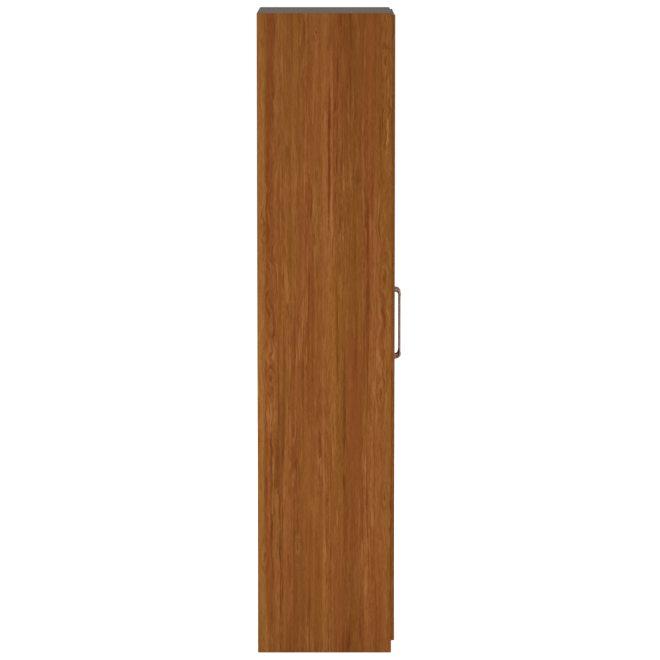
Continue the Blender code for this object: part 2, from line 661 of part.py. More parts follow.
def make_cams(word, side):
    outward = HEAD_LEFT if side < 0 else HEAD_RIGHT
    x = side * (INNER - CLEARANCE - CAM_FROM_END)
    bottom = CEILING + CLEARANCE
    head_tip = CLEARANCE + CAM_FROM_END - CAM_BOLT_HEAD_LENGTH
    bolt = [
        (0, CAM_BOLT_THREAD_LENGTH),
        (CAM_BOLT_THREAD_RADIUS, CAM_BOLT_THREAD_LENGTH),
        (CAM_BOLT_THREAD_RADIUS, 0),
        (CAM_BOLT_RADIUS, 0),
        (CAM_BOLT_RADIUS, -head_tip),
        (CAM_BOLT_HEAD_RADIUS, -head_tip),
        (CAM_BOLT_HEAD_RADIUS, -head_tip - CAM_BOLT_HEAD_LENGTH),
        (0, -head_tip - CAM_BOLT_HEAD_LENGTH),
    ]
    throat = CAM_BOLT_HEAD_RADIUS + CLEARANCE
    for place, y in CAM_PLACES.items():
        disc = turned(f"cam_{word}_{place}", rod_profile(CAM_RADIUS, CAM_HEIGHT, 0), ZINC,
                      (x, y, bottom), sides=ROUND_SIDES)
        # throat that takes the bolt's head from the side, open at the top
        cut_box(disc, *corners(side, abs(x) - throat, abs(x) + CAM_RADIUS + BEYOND, y - throat, y + throat,
                               CAM_BOLT_HEIGHT - throat, bottom + CAM_HEIGHT + BEYOND))
        # screwdriver slot underneath
        cut_box(disc, (x - CAM_DRIVE_LENGTH / 2, y - CAM_DRIVE_WIDTH / 2, bottom - BEYOND),
                (x + CAM_DRIVE_LENGTH / 2, y + CAM_DRIVE_WIDTH / 2, bottom + CAM_DRIVE_DEPTH))
        turned(f"cam_bolt_{word}_{place}", bolt, ZINC, (side * INNER, y, CAM_BOLT_HEIGHT), outward)


def main():
    make_top()
    make_bottom()
    make_back()
    make_plinths()
    make_shelf()
    make_rail()
    for word, side in SIDES.items():
        make_side(f"{word}_side_panel", side)
        make_door(word, side)
        make_pivot(word, side, "top", CEILING, TOP_LEDGE, -1)
        make_pivot(word, side, "bottom", BASE_TOP, BOTTOM_LEDGE, 1)
        make_catch(word, side)
        make_cams(word, side)


main()
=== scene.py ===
"""Looks of the narrow two-door wardrobe: laminate, metal and plastic finishes, studio and camera."""

import json
import math

import bpy
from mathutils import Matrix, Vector


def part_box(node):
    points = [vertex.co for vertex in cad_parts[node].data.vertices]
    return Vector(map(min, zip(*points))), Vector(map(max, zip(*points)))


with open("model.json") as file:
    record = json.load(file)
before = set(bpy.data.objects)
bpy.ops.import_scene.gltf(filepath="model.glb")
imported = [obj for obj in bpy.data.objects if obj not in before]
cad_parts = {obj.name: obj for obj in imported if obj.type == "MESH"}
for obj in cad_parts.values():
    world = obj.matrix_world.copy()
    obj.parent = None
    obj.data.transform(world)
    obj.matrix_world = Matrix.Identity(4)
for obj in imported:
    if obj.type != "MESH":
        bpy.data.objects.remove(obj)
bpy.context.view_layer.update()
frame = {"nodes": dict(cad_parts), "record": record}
NODES = frame["nodes"]

# Colours are sRGB, 0 to 255.
# Textures are ((repeats per metre along X, Y and Z), octaves, roughness, distortion).
# Ranges are (from, to, value at from, value at to), or (from, to) where the values are 0 and 1.
# Bumps are (depth in metres, strength).
# Seeds and offsets move a texture, so that no two are alike.

# Wood-grain laminate: colours along the tone and along the hue, and the share of the second
WOOD_DARK = (86, 34, 10)
WOOD_MID = (135, 80, 35)
WOOD_LIGHT = (177, 122, 69)
WOOD_RED = (139, 73, 35)
WOOD_OLIVE = (137, 88, 26)
PORE = (66, 29, 10)
MID_TONE = 0.5
TONE_RAMP = ((0.0, WOOD_DARK), (1.0, WOOD_LIGHT), (MID_TONE, WOOD_MID))
HUE_RAMP = ((0.3, WOOD_RED), (0.7, WOOD_OLIVE), (0.5, WOOD_MID))
HUE_SHARE = 0.36
PORE_SHARE = 0.5
# the edges' colour as a share of the faces': an edge-band tone, which on the doors is lightened as painted
# light in the shade of their recessed edges
BOARD_EDGING = (0.88, 0.99, 1.10, 1)
# the doors' edges: their edge-band tone lightened, painted light against the shade where they sit back from
# the sides
DOOR_EDGING_WITH_PAINTED_LIGHT = (1.12, 1.20, 1.30, 1)
WOOD_SHINE = 0.04
WOOD_ROUGHNESS = (0.3, 0.7, 0.56, 0.68)
WOOD_BUMP = (0.00006, 0.6)
FIBRE_HEIGHT = 0.4

# Grain: soft layers as repeats per metre across and along the grain, octaves and gain
GRAIN_BANDS = (13, 0.4, 1.0, 0.36)
GRAIN_STRIPES = (45, 1.2, 2.0, 0.36)
GRAIN_LINES = (150, 1.0, 1.0, 0.36)
GRAIN_FLECKS = (240, 30.0, 2.0, 0.52)
GRAIN_FIBRES = (900, 60.0, 1.0, 0.55)
GRAIN_HAIRS = (2600, 22.0, 1.0, 0.45)
GRAIN_PORES = (1300, 80.0, 1.0)
PORES_SHOW = (0.62, 0.72)
# crisp slivers as repeats per metre across and along, and gain, and the few that are darkest and palest
SLIVERS_LONG = (120, 2.0, 0.15)
SLIVERS_SHORT = (185, 13.0, 0.14)
DARK_SLIVERS = (0.09, 0.03, 0.0, -0.20)
PALE_SLIVERS = (0.90, 0.96, 0.0, 0.13)
# calm areas, as repeats per metre across and along, and how much of the fine grain shows there and elsewhere
CALM_AREAS = (20, 1.7)
CALM_TO_LIVELY = (0.35, 0.65, 0.55, 1.30)
# slow drifts, and how far they move the grain and the slivers' sides, in metres
WANDER = ((6, 6, 1.2), 1.0)
WANDER_WIDTH = 0.012
FRAY_WIDTH = 0.0012
HUE_DRIFT = ((20, 20, 1.4), 1.5)
LAYER_OFFSET = (3, 5, 7)
FIBRE_OFFSET = (1, 4, 6)
LONG_OFFSET = (4, 9, 2)
SHORT_OFFSET = (8, 3, 5)
HAIR_OFFSET = (7, 2, 3)
CALM_OFFSET = (5, 1, 9)
HUE_OFFSET = (6, 8, 1)
PORE_OFFSET = (2, 7, 5)

# Eyes in the grain: how fast one fades, how it pushes and calms the grain, its rings, and how uneven it is
EYE_FADE = -0.8
EYE_PUSH = -0.8
EYE_CALMS = -0.7
RING_PACE = 6.0
RING_START = 4.2
RING_DARK = (-0.1, -0.9, 0.0, -0.34)
RING_PALE = (0.3, 1.0, 0.0, 0.14)
EYE_UNEVEN = ((55, 55, 38), 2.0)
EYE_UNEVEN_ACROSS = 0.016
EYE_UNEVEN_ALONG = -0.060

# Strips along a board: the full middle's share of one, and in metres the curl of wavy ones and drift of bands
STRIP_MIDDLE = 0.4
CURL = ((16, 16, 13), 2.0)
CURL_WIDTH = 0.032
BAND_DRIFT = ((3, 3, 1.6), 2.0)
BAND_DRIFT_WIDTH = 0.03

# Faces, edges and arrises by how squarely the surface lies in the board's plane: 1 on faces, 0 on edges
FACE_TO_EDGE = (0.85, 0.5)
EDGE_TO_FACE = (0.5, 0.85)
FACE_TO_ARRIS = (0.98, 0.85)
EDGE_TO_ARRIS = (0.10, 0.35)
# Wear along the arrises and the faces' rims: patches, how much shows, width in metres and its full share
WEAR_PATCHES = ((60, 60, 60), 3.0)
WEAR_SHOWS = (0.35, 0.65, 0.10, 0.60)
WEAR_WIDTH = 0.0014
WEAR_FULL = 0.3

# Grey painted on the faces that look up: a painted sheen that stands in for the light these faces catch at a
# grazing angle
PAINTED_SHEEN_GREY = (106, 97, 91)
GREY_SPREAD = 9
GREY_SPECKLE = ((900, 900, 900), 2.0, 0.7)
GREY_SPECKLE_GAIN = 1.2
GREY_CLOUD = ((9, 9, 9), 3.0)
GREY_CLOUD_GAIN = 0.5
GREY_ROUGHNESS = (0.3, 0.7, 0.80, 0.95)
GREY_SHINE = 0.005
GREY_BUMP = (0.00004, 0.4)

# Hardboard: the bare side's fibres, flecks and screen pattern, in radians per metre, and the print inside
HARDBOARD = (146, 108, 72)
HARDBOARD_DARK = (86, 58, 36)
HARDBOARD_RAMP = (0.05, 0.95)
HARDBOARD_FIBRES = ((420, 420, 420), 4.0, 0.65, 0.6)
HARDBOARD_FIBRE_GAIN = 0.7
HARDBOARD_CLOUD = ((14, 14, 9), 3.0)
HARDBOARD_CLOUD_GAIN = 0.2
HARDBOARD_FLECKS = ((520, 520, 520), 2.0, 0.6, 2.5)
FLECK_OFFSET = (3, 1, 2)
FLECK_DARK = (0.58, 0.70, 0.0, -0.34)
FLECK_PALE = (0.40, 0.30, 0.0, 0.28)
SCREEN_PITCH = 2 * math.pi / 0.0022
SCREEN_GAIN = 0.09
SCREEN_HEIGHT = 0.5
HARDBOARD_ROUGHNESS = (0.3, 0.7, 0.72, 0.88)
HARDBOARD_BUMP = (0.0003, 0.7)
PRINT_SEED = (7.7, 1.9, 4.3)
PRINT_CONTRAST = 0.7
PRINT_SMOOTHER = -0.25
PRINT_FLATTER = -0.85
REAR_TO_INSIDE = (-0.4, -0.8)

# Metals, plastics and rubber
LEVEL_RAMP = (0.2, 0.8)
LEVEL_RANGE = (0.3, 0.7)
MID_LEVEL = 0.5
METAL_LINES = (3.0, 0.6)
METAL_LINE_GAIN = 0.5
METAL_CLOUD = ((60, 60, 60), 3.0)
METAL_CLOUD_GAIN = 0.6
MOULDED_TEXTURE = ((1500, 1500, 1500), 2.0, 0.6)
MOULDED_CLOUD = ((90, 90, 90), 2.0)
MOULDED_GAIN = 0.5
MOULDED_ROUGHNESS_SPREAD = 0.06
FITTING_BUMP_STRENGTH = 0.5

# Rounded edges: radius, segments, and the shortest edge that is rounded
BOARD_ARRIS = 0.0007
BOARD_LEAST_EDGE = 0.012
FITTING_ARRIS = 0.0002
FITTING_LEAST_EDGE = 0.0004
ARRIS_SEGMENTS = 2
CORNER_ABOVE = math.radians(40)
SHARP_ABOVE = math.radians(35)
FLAT_BELOW = math.radians(0.5)
UPWARD = 0.8
WELD = 0.00001

# Cross recesses in the screw heads: length and width of an arm, and depth
SMALL_RECESS = (0.0034, 0.0009, 0.0009)
LARGE_RECESS = (0.0046, 0.0011, 0.0014)

# Studio: lamps as place, height of the point they aim at, diameter and power
WORLD_LIGHT = 0.42
FLOOR_SIZE = 400.0
FLOOR_ALBEDO = 0.8
FLOOR_GLOW = 0.72
LAMPS = {
    "key": ((-3.0, -2.8, 0.8), 0.5, 1.5, 59),
    "left_fill": ((-3.2, 2.6, 0.8), 0.5, 1.5, 46),
    "top_light": ((0.6, 0.0, 6.0), 2.0, 2.0, 76),
    "front_fill": ((2.6, -6.0, 3.0), 0.9, 4.0, 130),
    "rear_fill": ((5.0, 4.5, 3.2), 0.9, 4.0, 170),
}

# Camera that was fitted to the photograph: place, degrees down and round, angle of view, and reach
CAMERA_PLACE = (-12.135, 0.0, 2.421)
CAMERA_TILT = 6.6816
CAMERA_HEADING = -90
CAMERA_ANGLE = 9.992
CAMERA_REACH = 1000


# Node trees

def linear(level):
    """One sRGB channel, 0 to 255, as linear light."""
    share = level / 255
    return share / 12.92 if share <= 0.04045 else ((share + 0.055) / 1.055) ** 2.4


def rgba(colour):
    return (*map(linear, colour), 1.0)


class Tree:
    """A node tree with short calls to add nodes; an input is a value or another node's output."""

    def __init__(self, tree):
        self.tree = tree

    def add(self, kind, inputs=None, **settings):
        node = self.tree.nodes.new(kind)
        for name, value in settings.items():
            setattr(node, name, value)
        for key, value in (inputs or {}).items():
            if isinstance(value, bpy.types.NodeSocket):
                self.tree.links.new(value, node.inputs[key])
            else:
                node.inputs[key].default_value = value
        return node

    def math(self, operation, *values, clamp=False):
        node = self.add("ShaderNodeMath", dict(enumerate(values)), operation=operation, use_clamp=clamp)
        return node.outputs[0]

    def vector(self, operation, *values):
        return self.add("ShaderNodeVectorMath", dict(enumerate(values)), operation=operation).outputs

    def combined(self, **axes):
        """A vector from its parts along X, Y and Z."""
        return self.add("ShaderNodeCombineXYZ", axes).outputs[0]

    def axes(self, vector):
        return self.add("ShaderNodeSeparateXYZ", {0: vector}).outputs

    def sum(self, first, *others):
        for other in others:
            first = self.math("ADD", first, other)
        return first

    def noise(self, vector, detail=2.0, roughness=0.5, distortion=0.0):
        values = {"Vector": vector, "Scale": 1.0, "Detail": detail, "Roughness": roughness,
                  "Distortion": distortion}
        return self.add("ShaderNodeTexNoise", values).outputs["Fac"]

    def scaled(self, vector, scale, offset=(0, 0, 0)):
        values = {"Vector": vector, "Scale": scale, "Location": offset}
        return self.add("ShaderNodeMapping", values).outputs[0]

    def texture(self, vector, texture, offset=(0, 0, 0)):
        scale, *octaves = texture
        return self.noise(self.scaled(vector, scale, offset), *octaves)

    def along_grain(self, vector, layer, offset):
        """Noise of a layer that is drawn out along Z."""
        across, along, *octaves = layer
        return self.noise(self.scaled(vector, (across, across, along), offset), *octaves[:1])

    def slivers(self, vector, layer, offset):
        """Long pointed cells along Z, each with its own value from 0 to 1."""
        across, along, _ = layer
        values = {"Vector": self.scaled(vector, (across, across, along), offset), "Scale": 1.0}
        return self.axes(self.add("ShaderNodeTexVoronoi", values).outputs["Color"])[0]

    def spread(self, value, amount):
        """A noise of middle 0.5 turned to one of middle 0 with the given gain."""
        return self.math("MULTIPLY_ADD", value, amount, -amount / 2)

    def between(self, value, low, high, to_low=0.0, to_high=1.0):
        """A smooth step through a range."""
        values = {"Value": value, "From Min": low, "From Max": high, "To Min": to_low, "To Max": to_high}
        node = self.add("ShaderNodeMapRange", values, interpolation_type="SMOOTHSTEP")
        return node.outputs[0]

    def mix(self, factor, first, second, blend="MIX"):
        node = self.add("ShaderNodeMix", {0: factor, 6: first, 7: second}, data_type="RGBA", blend_type=blend)
        return node.outputs[2]

    def ramp(self, value, *stops):
        """A colour ramp through (place, colour) stops."""
        node = self.add("ShaderNodeValToRGB", {0: value})
        elements = node.color_ramp.elements
        for element, (place, colour) in zip(elements, stops):
            element.position = place
            element.color = rgba(colour)
        for place, colour in stops[2:]:
            elements.new(place).color = rgba(colour)
        return node.outputs[0]

    def group(self, tree, inputs):
        """A node of a group; setting the group first gives the node its sockets."""
        return self.add("ShaderNodeGroup", inputs, node_tree=tree).outputs


def new_group(kind, name, inputs, outputs):
    """A node group with named sockets, and its input sockets."""
    group = bpy.data.node_groups.new(name, kind)
    for sockets, in_out in ((inputs, "INPUT"), (outputs, "OUTPUT")):
        for label, socket_type in sockets.items():
            group.interface.new_socket(label, in_out=in_out, socket_type=socket_type)
    tree = Tree(group)
    return tree, tree.add("NodeGroupInput").outputs


def end_group(tree, **outputs):
    tree.add("NodeGroupOutput", outputs)
    return tree.tree


def new_material(name):
    material = bpy.data.materials.new(name)
    material.use_nodes = True
    tree = Tree(material.node_tree)
    shader = material.node_tree.nodes["Principled BSDF"]
    return material, tree, shader


def link(tree, output, shader, name):
    tree.tree.links.new(output, shader.inputs[name])


def bump(tree, shader, height, distance, strength):
    node = tree.add("ShaderNodeBump", {"Height": height, "Distance": distance, "Strength": strength})
    link(tree, node.outputs[0], shader, "Normal")


# Wood-grain laminate

FLOAT, VECTOR, GEOMETRY = "NodeSocketFloat", "NodeSocketVector", "NodeSocketGeometry"


def grain_group():
    """A place with its Z along the grain gives the grain's tone about 0, and hue, pores and fibre, 0 to 1."""
    outputs = dict.fromkeys(("Tone", "Hue", "Pores", "Fibre"), FLOAT)
    t, entry = new_group("ShaderNodeTree", "wood_grain", {"Place": VECTOR}, outputs)
    place = entry["Place"]

    # the grain wanders slowly along the board, and the slivers' sides are frayed by the fibres
    wander = t.spread(t.texture(place, WANDER), WANDER_WIDTH)
    grain = t.vector("ADD", place, t.combined(X=wander, Y=wander))[0]
    fibre = t.along_grain(grain, GRAIN_FIBRES, FIBRE_OFFSET)
    fray = t.spread(fibre, FRAY_WIDTH)
    frayed = t.vector("ADD", grain, t.combined(X=fray, Y=fray))[0]

    layers = (GRAIN_BANDS, GRAIN_STRIPES, GRAIN_LINES, GRAIN_FLECKS)
    bands, stripes, lines, flecks = (
        t.spread(t.along_grain(grain, layer, [i * step for step in LAYER_OFFSET]), layer[3])
        for i, layer in enumerate(layers))
    long = t.slivers(frayed, SLIVERS_LONG, LONG_OFFSET)
    short = t.slivers(frayed, SLIVERS_SHORT, SHORT_OFFSET)
    crisp = t.sum(t.spread(long, SLIVERS_LONG[2]), t.spread(short, SLIVERS_SHORT[2]))
    dark = t.sum(*(t.between(cells, *DARK_SLIVERS) for cells in (long, short)))
    pale = t.between(short, *PALE_SLIVERS)
    hairs = t.spread(t.along_grain(grain, GRAIN_HAIRS, HAIR_OFFSET), GRAIN_HAIRS[3])
    fine = t.sum(lines, flecks, hairs, t.spread(fibre, GRAIN_FIBRES[3]), crisp, dark, pale)
    lively = t.between(t.along_grain(grain, CALM_AREAS, CALM_OFFSET), *CALM_TO_LIVELY)
    tone = t.sum(bands, stripes, t.math("MULTIPLY", fine, lively))
    hue = t.texture(grain, HUE_DRIFT, HUE_OFFSET)
    pores = t.between(t.along_grain(grain, GRAIN_PORES, PORE_OFFSET), *PORES_SHOW)
    return end_group(t, Tone=tone, Hue=hue, Pores=pores, Fibre=fibre)


def eye_group():
    """A small eye in the grain: how much of it shows, how far it pushes the grain aside, and its rings."""
    labels = ("Across", "Along", "Middle across", "Middle along", "Half width", "Half length")
    outputs = dict.fromkeys(("Weight", "Shift", "Rings"), FLOAT)
    t, entry = new_group("ShaderNodeTree", "wood_eye", dict.fromkeys(labels, FLOAT), outputs)
    aside = t.math("SUBTRACT", entry["Across"], entry["Middle across"])
    wide = t.math("DIVIDE", aside, entry["Half width"])
    ahead = t.math("SUBTRACT", entry["Along"], entry["Middle along"])
    long = t.math("DIVIDE", ahead, entry["Half length"])
    square = t.math("ADD", t.math("MULTIPLY", wide, wide), t.math("MULTIPLY", long, long))
    weight = t.math("EXPONENT", t.math("MULTIPLY", square, EYE_FADE))
    shift = t.math("MULTIPLY", t.math("MULTIPLY", aside, weight), EYE_PUSH)
    wave = t.math("SINE", t.math("MULTIPLY_ADD", t.math("SQRT", square), RING_PACE, RING_START))
    lines = t.sum(t.between(wave, *RING_DARK), t.between(wave, *RING_PALE))
    return end_group(t, Weight=weight, Shift=shift, Rings=t.math("MULTIPLY", lines, weight))


WOOD_GRAIN = grain_group()
WOOD_EYE = eye_group()
UPRIGHT = (0, 0, 0)
CROSSWISE = (0, math.pi / 2, 0)


def strip(t, across, middle, half_width):
    """1 along the middle of a strip, falling softly to 0 at its sides."""
    away = t.math("ABSOLUTE", t.math("SUBTRACT", across, middle))
    return t.between(away, half_width, STRIP_MIDDLE * half_width)


def rim_distance(t, place, board, thin):
    """How far a place on a broad face of a board is from the face's rim."""
    distances = []
    for axis, low, high in zip("XYZ", *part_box(board)):
        if axis != thin:
            from_middle = t.math("ABSOLUTE", t.math("SUBTRACT", t.axes(place)[axis], (low + high) / 2))
            distances.append(t.math("SUBTRACT", (high - low) / 2, from_middle))
    return t.math("MINIMUM", *distances)


def wood_material(name, seed, thin, turn=UPRIGHT, across="Y", bands=(), wavy=(), eyes=(),
                  edge_tone_and_painted_light=BOARD_EDGING, board=None):
    """Wood-grain laminate on a board that is thin along one axis.

    bands are (middle, half width, tone, hue) across the board, wavy are strips (middle, half width) of
    curly grain, and eyes are (middle across, middle along, half width, half length). The edges' colour,
    as a share of the faces', is an edge-band tone, which for the doors is lightened as painted light.
    The rims of a named board's faces are worn.
    """
    material, t, shader = new_material(name)
    coordinates = t.add("ShaderNodeTexCoord").outputs
    place = coordinates["Object"]
    aside = t.axes(place)[across]
    along = t.axes(place)["Z"]

    shift, rings, calm = 0.0, 0.0, 0.0
    uneven = t.texture(place, EYE_UNEVEN, seed)
    eye_across = t.math("ADD", aside, t.spread(uneven, EYE_UNEVEN_ACROSS))
    eye_along = t.math("ADD", along, t.spread(uneven, EYE_UNEVEN_ALONG))
    curl = t.spread(t.texture(place, CURL, seed), CURL_WIDTH)
    for middle, half_width in wavy:
        shift = t.math("MULTIPLY_ADD", strip(t, aside, middle, half_width), curl, shift)
    for middle_across, middle_along, half_width, half_length in eyes:
        eye = t.group(WOOD_EYE, {
            "Across": eye_across, "Along": eye_along,
            "Middle across": middle_across, "Middle along": middle_along,
            "Half width": half_width, "Half length": half_length})
        shift = t.math("ADD", shift, eye["Shift"])
        rings = t.math("ADD", rings, eye["Rings"])
        calm = t.math("ADD", calm, eye["Weight"])
    pushed = t.vector("ADD", place, t.combined(**{across: shift}))[0]
    turned = t.add("ShaderNodeMapping", {"Vector": pushed, "Location": seed, "Rotation": turn}).outputs[0]

    grain = t.group(WOOD_GRAIN, {"Place": turned})
    quiet = t.math("MULTIPLY_ADD", calm, EYE_CALMS, 1.0, clamp=True)
    tone = t.sum(t.math("MULTIPLY", grain["Tone"], quiet), rings, MID_TONE)
    hue = grain["Hue"]
    drifting = t.math("ADD", aside, t.spread(t.texture(place, BAND_DRIFT, seed), BAND_DRIFT_WIDTH))
    for middle, half_width, tone_step, hue_step in bands:
        weight = strip(t, drifting, middle, half_width)
        tone = t.math("MULTIPLY_ADD", weight, tone_step, tone)
        hue = t.math("MULTIPLY_ADD", weight, hue_step, hue)
    tinted = t.mix(HUE_SHARE, t.ramp(tone, *TONE_RAMP), t.ramp(hue, *HUE_RAMP))
    colour = t.mix(t.math("MULTIPLY", grain["Pores"], PORE_SHARE), tinted, rgba(PORE))

    facing = t.math("ABSOLUTE", t.axes(coordinates["Normal"])[thin])
    # edges take the edge-band tone; on the doors it is lightened as painted light
    colour = t.mix(t.between(facing, *FACE_TO_EDGE), colour, edge_tone_and_painted_light, "MULTIPLY")
    worn = t.math("MULTIPLY", t.between(facing, *FACE_TO_ARRIS), t.between(facing, *EDGE_TO_ARRIS))
    if board:
        rim = t.between(rim_distance(t, place, board, thin), WEAR_WIDTH, WEAR_FULL * WEAR_WIDTH)
        worn = t.math("MAXIMUM", worn, t.math("MULTIPLY", rim, t.between(facing, *EDGE_TO_FACE)))
    patches = t.between(t.texture(place, WEAR_PATCHES, seed), *WEAR_SHOWS)
    colour = t.mix(t.math("MULTIPLY", worn, patches), colour, rgba(WOOD_DARK))
    link(t, colour, shader, "Base Color")
    link(t, t.between(grain["Fibre"], *WOOD_ROUGHNESS), shader, "Roughness")
    shader.inputs["Specular IOR Level"].default_value = WOOD_SHINE
    height = t.math("SUBTRACT", t.math("MULTIPLY", grain["Fibre"], FIBRE_HEIGHT), grain["Pores"])
    bump(t, shader, height, *WOOD_BUMP)
    return material


# Painted grey sheen on the faces that look up, and hardboard

def two_colour_ramp(t, level, places, dark, pale):
    low, high = places
    return t.ramp(level, (low, dark), (high, pale))


def painted_sheen_material():
    """Matt warm grey with a fine speckle and a faint cloud: a painted sheen for the faces that look up."""
    # the material keeps the grey slot's name, but its grey is a painted sheen
    material, t, shader = new_material("grey_laminate")
    place = t.add("ShaderNodeTexCoord").outputs["Object"]
    speckle = t.texture(place, GREY_SPECKLE)
    cloud = t.texture(place, GREY_CLOUD)
    level = t.sum(t.spread(speckle, GREY_SPECKLE_GAIN), t.spread(cloud, GREY_CLOUD_GAIN), MID_LEVEL)
    darker = tuple(channel - GREY_SPREAD for channel in PAINTED_SHEEN_GREY)
    paler = tuple(channel + GREY_SPREAD for channel in PAINTED_SHEEN_GREY)
    link(t, two_colour_ramp(t, level, LEVEL_RAMP, darker, paler), shader, "Base Color")
    link(t, t.between(speckle, *GREY_ROUGHNESS), shader, "Roughness")
    shader.inputs["Specular IOR Level"].default_value = GREY_SHINE
    bump(t, shader, speckle, *GREY_BUMP)
    return material


def back_material():
    """Thin hardboard: wood-grain print towards the inside, matted fibres and a screen pattern behind."""
    material, t, shader = new_material("printed_hardboard")
    coordinates = t.add("ShaderNodeTexCoord").outputs
    place = coordinates["Object"]
    fibre = t.texture(place, HARDBOARD_FIBRES)
    cloud = t.texture(place, HARDBOARD_CLOUD)
    x, _, z = t.axes(place)
    screen = t.math("MULTIPLY", t.math("SINE", t.math("MULTIPLY", x, SCREEN_PITCH)),
                    t.math("SINE", t.math("MULTIPLY", z, SCREEN_PITCH)))
    flecks = t.texture(place, HARDBOARD_FLECKS, FLECK_OFFSET)
    level = t.sum(
        t.spread(fibre, HARDBOARD_FIBRE_GAIN), t.spread(cloud, HARDBOARD_CLOUD_GAIN),
        t.math("MULTIPLY", screen, SCREEN_GAIN),
        t.between(flecks, *FLECK_DARK), t.between(flecks, *FLECK_PALE), MID_LEVEL)
    bare = two_colour_ramp(t, level, HARDBOARD_RAMP, HARDBOARD_DARK, HARDBOARD)

    grain = t.group(WOOD_GRAIN, {"Place": t.scaled(place, (1, 1, 1), PRINT_SEED)})
    tone = t.math("MULTIPLY_ADD", grain["Tone"], PRINT_CONTRAST, MID_TONE)
    printed = t.ramp(tone, *TONE_RAMP)
    inside = t.between(t.axes(coordinates["Normal"])["Y"], *REAR_TO_INSIDE)
    link(t, t.mix(inside, bare, printed), shader, "Base Color")
    rough = t.between(fibre, *HARDBOARD_ROUGHNESS)
    link(t, t.math("MULTIPLY_ADD", inside, PRINT_SMOOTHER, rough), shader, "Roughness")
    shader.inputs["Specular IOR Level"].default_value = WOOD_SHINE
    rugged = t.math("MULTIPLY_ADD", screen, SCREEN_HEIGHT, fibre)
    height = t.math("MULTIPLY", rugged, t.math("MULTIPLY_ADD", inside, PRINT_FLATTER, 1.0))
    bump(t, shader, height, *HARDBOARD_BUMP)
    return material


# Metals, plastics and rubber

def metal_material(name, dark, pale, roughness, lines, depth):
    """Plated metal with fine polishing lines, given as repeats per metre along each axis."""
    material, t, shader = new_material(name)
    place = t.add("ShaderNodeTexCoord").outputs["Object"]
    polish = t.texture(place, (lines, *METAL_LINES))
    cloud = t.texture(place, METAL_CLOUD)
    level = t.sum(t.spread(polish, METAL_LINE_GAIN), t.spread(cloud, METAL_CLOUD_GAIN), MID_LEVEL)
    link(t, two_colour_ramp(t, level, LEVEL_RAMP, dark, pale), shader, "Base Color")
    link(t, t.between(level, *LEVEL_RANGE, *roughness), shader, "Roughness")
    shader.inputs["Metallic"].default_value = 1.0
    bump(t, shader, polish, depth, FITTING_BUMP_STRENGTH)
    return material


def moulded_material(name, dark, pale, roughness, specular, depth):
    """Moulded plastic or rubber with a fine matt texture."""
    material, t, shader = new_material(name)
    place = t.add("ShaderNodeTexCoord").outputs["Object"]
    texture = t.texture(place, MOULDED_TEXTURE)
    cloud = t.texture(place, MOULDED_CLOUD)
    level = t.sum(t.spread(texture, MOULDED_GAIN), t.spread(cloud, MOULDED_GAIN), MID_LEVEL)
    smoother, rougher = roughness - MOULDED_ROUGHNESS_SPREAD, roughness + MOULDED_ROUGHNESS_SPREAD
    link(t, two_colour_ramp(t, level, LEVEL_RAMP, dark, pale), shader, "Base Color")
    link(t, t.between(texture, *LEVEL_RANGE, smoother, rougher), shader, "Roughness")
    shader.inputs["Specular IOR Level"].default_value = specular
    bump(t, shader, texture, depth, FITTING_BUMP_STRENGTH)
    return material


# Finishes on the pieces

LEFT_SIDE_GRAIN = {
    "bands": (
        (0.2160, 0.018, 0.17, 0.30),
        (0.1900, 0.016, -0.08, -0.08),
        (0.0080, 0.026, 0.10, 0.03),
        (-0.0760, 0.052, -0.15, -0.03),
    ),
    "wavy": ((0.1950, 0.045), (-0.1750, 0.036)),
    "eyes": (
        (0.0440, 1.968, 0.008, 0.020),
        (0.1020, 0.345, 0.012, 0.042),
        (-0.1740, 1.885, 0.012, 0.050),
        (-0.1720, 1.200, 0.014, 0.080),
        (-0.1600, 0.830, 0.011, 0.045),
        (-0.1720, 0.500, 0.010, 0.036),
        (0.2080, 1.340, 0.010, 0.030),
        (0.1880, 0.880, 0.011, 0.040),
        (0.2080, 0.310, 0.011, 0.045),
    ),
}
RIGHT_SIDE_GRAIN = {
    "bands": (
        (-0.1500, 0.030, 0.09, 0.10),
        (0.0600, 0.050, -0.10, -0.05),
        (0.1700, 0.022, 0.08, 0.12),
    ),
    "wavy": ((-0.1400, 0.045), (0.1950, 0.040)),
    "eyes": (
        (-0.1350, 1.520, 0.012, 0.050),
        (-0.1450, 0.640, 0.011, 0.045),
        (0.1950, 1.150, 0.011, 0.040),
        (0.0300, 0.380, 0.010, 0.036),
    ),
}
LEFT_DOOR_GRAIN = {
    "bands": (
        (-0.2500, 0.030, 0.09, 0.12),
        (-0.1300, 0.050, -0.10, -0.05),
        (-0.0350, 0.022, 0.07, 0.05),
    ),
    "wavy": ((-0.2300, 0.045), (-0.0400, 0.035)),
    "eyes": (
        (-0.2250, 1.730, 0.012, 0.050),
        (-0.2350, 0.900, 0.012, 0.060),
        (-0.0450, 1.420, 0.010, 0.040),
        (-0.1500, 0.420, 0.011, 0.042),
    ),
}
RIGHT_DOOR_GRAIN = {
    "bands": (
        (0.0600, 0.030, 0.09, 0.08),
        (0.1700, 0.055, -0.11, -0.05),
        (0.2700, 0.022, 0.08, 0.14),
    ),
    "wavy": ((0.0800, 0.045), (0.2650, 0.035)),
    "eyes": (
        (0.0850, 1.580, 0.012, 0.055),
        (0.0750, 0.560, 0.011, 0.045),
        (0.2600, 1.100, 0.011, 0.042),
        (0.1800, 1.880, 0.010, 0.034),
    ),
}
SIDE = {"thin": "X", "across": "Y"}
# the doors' edges carry painted light on top of their edge-band tone
DOOR = {"thin": "Y", "across": "X", "edge_tone_and_painted_light": DOOR_EDGING_WITH_PAINTED_LIGHT}
FLAT = {"thin": "Z", "turn": CROSSWISE}

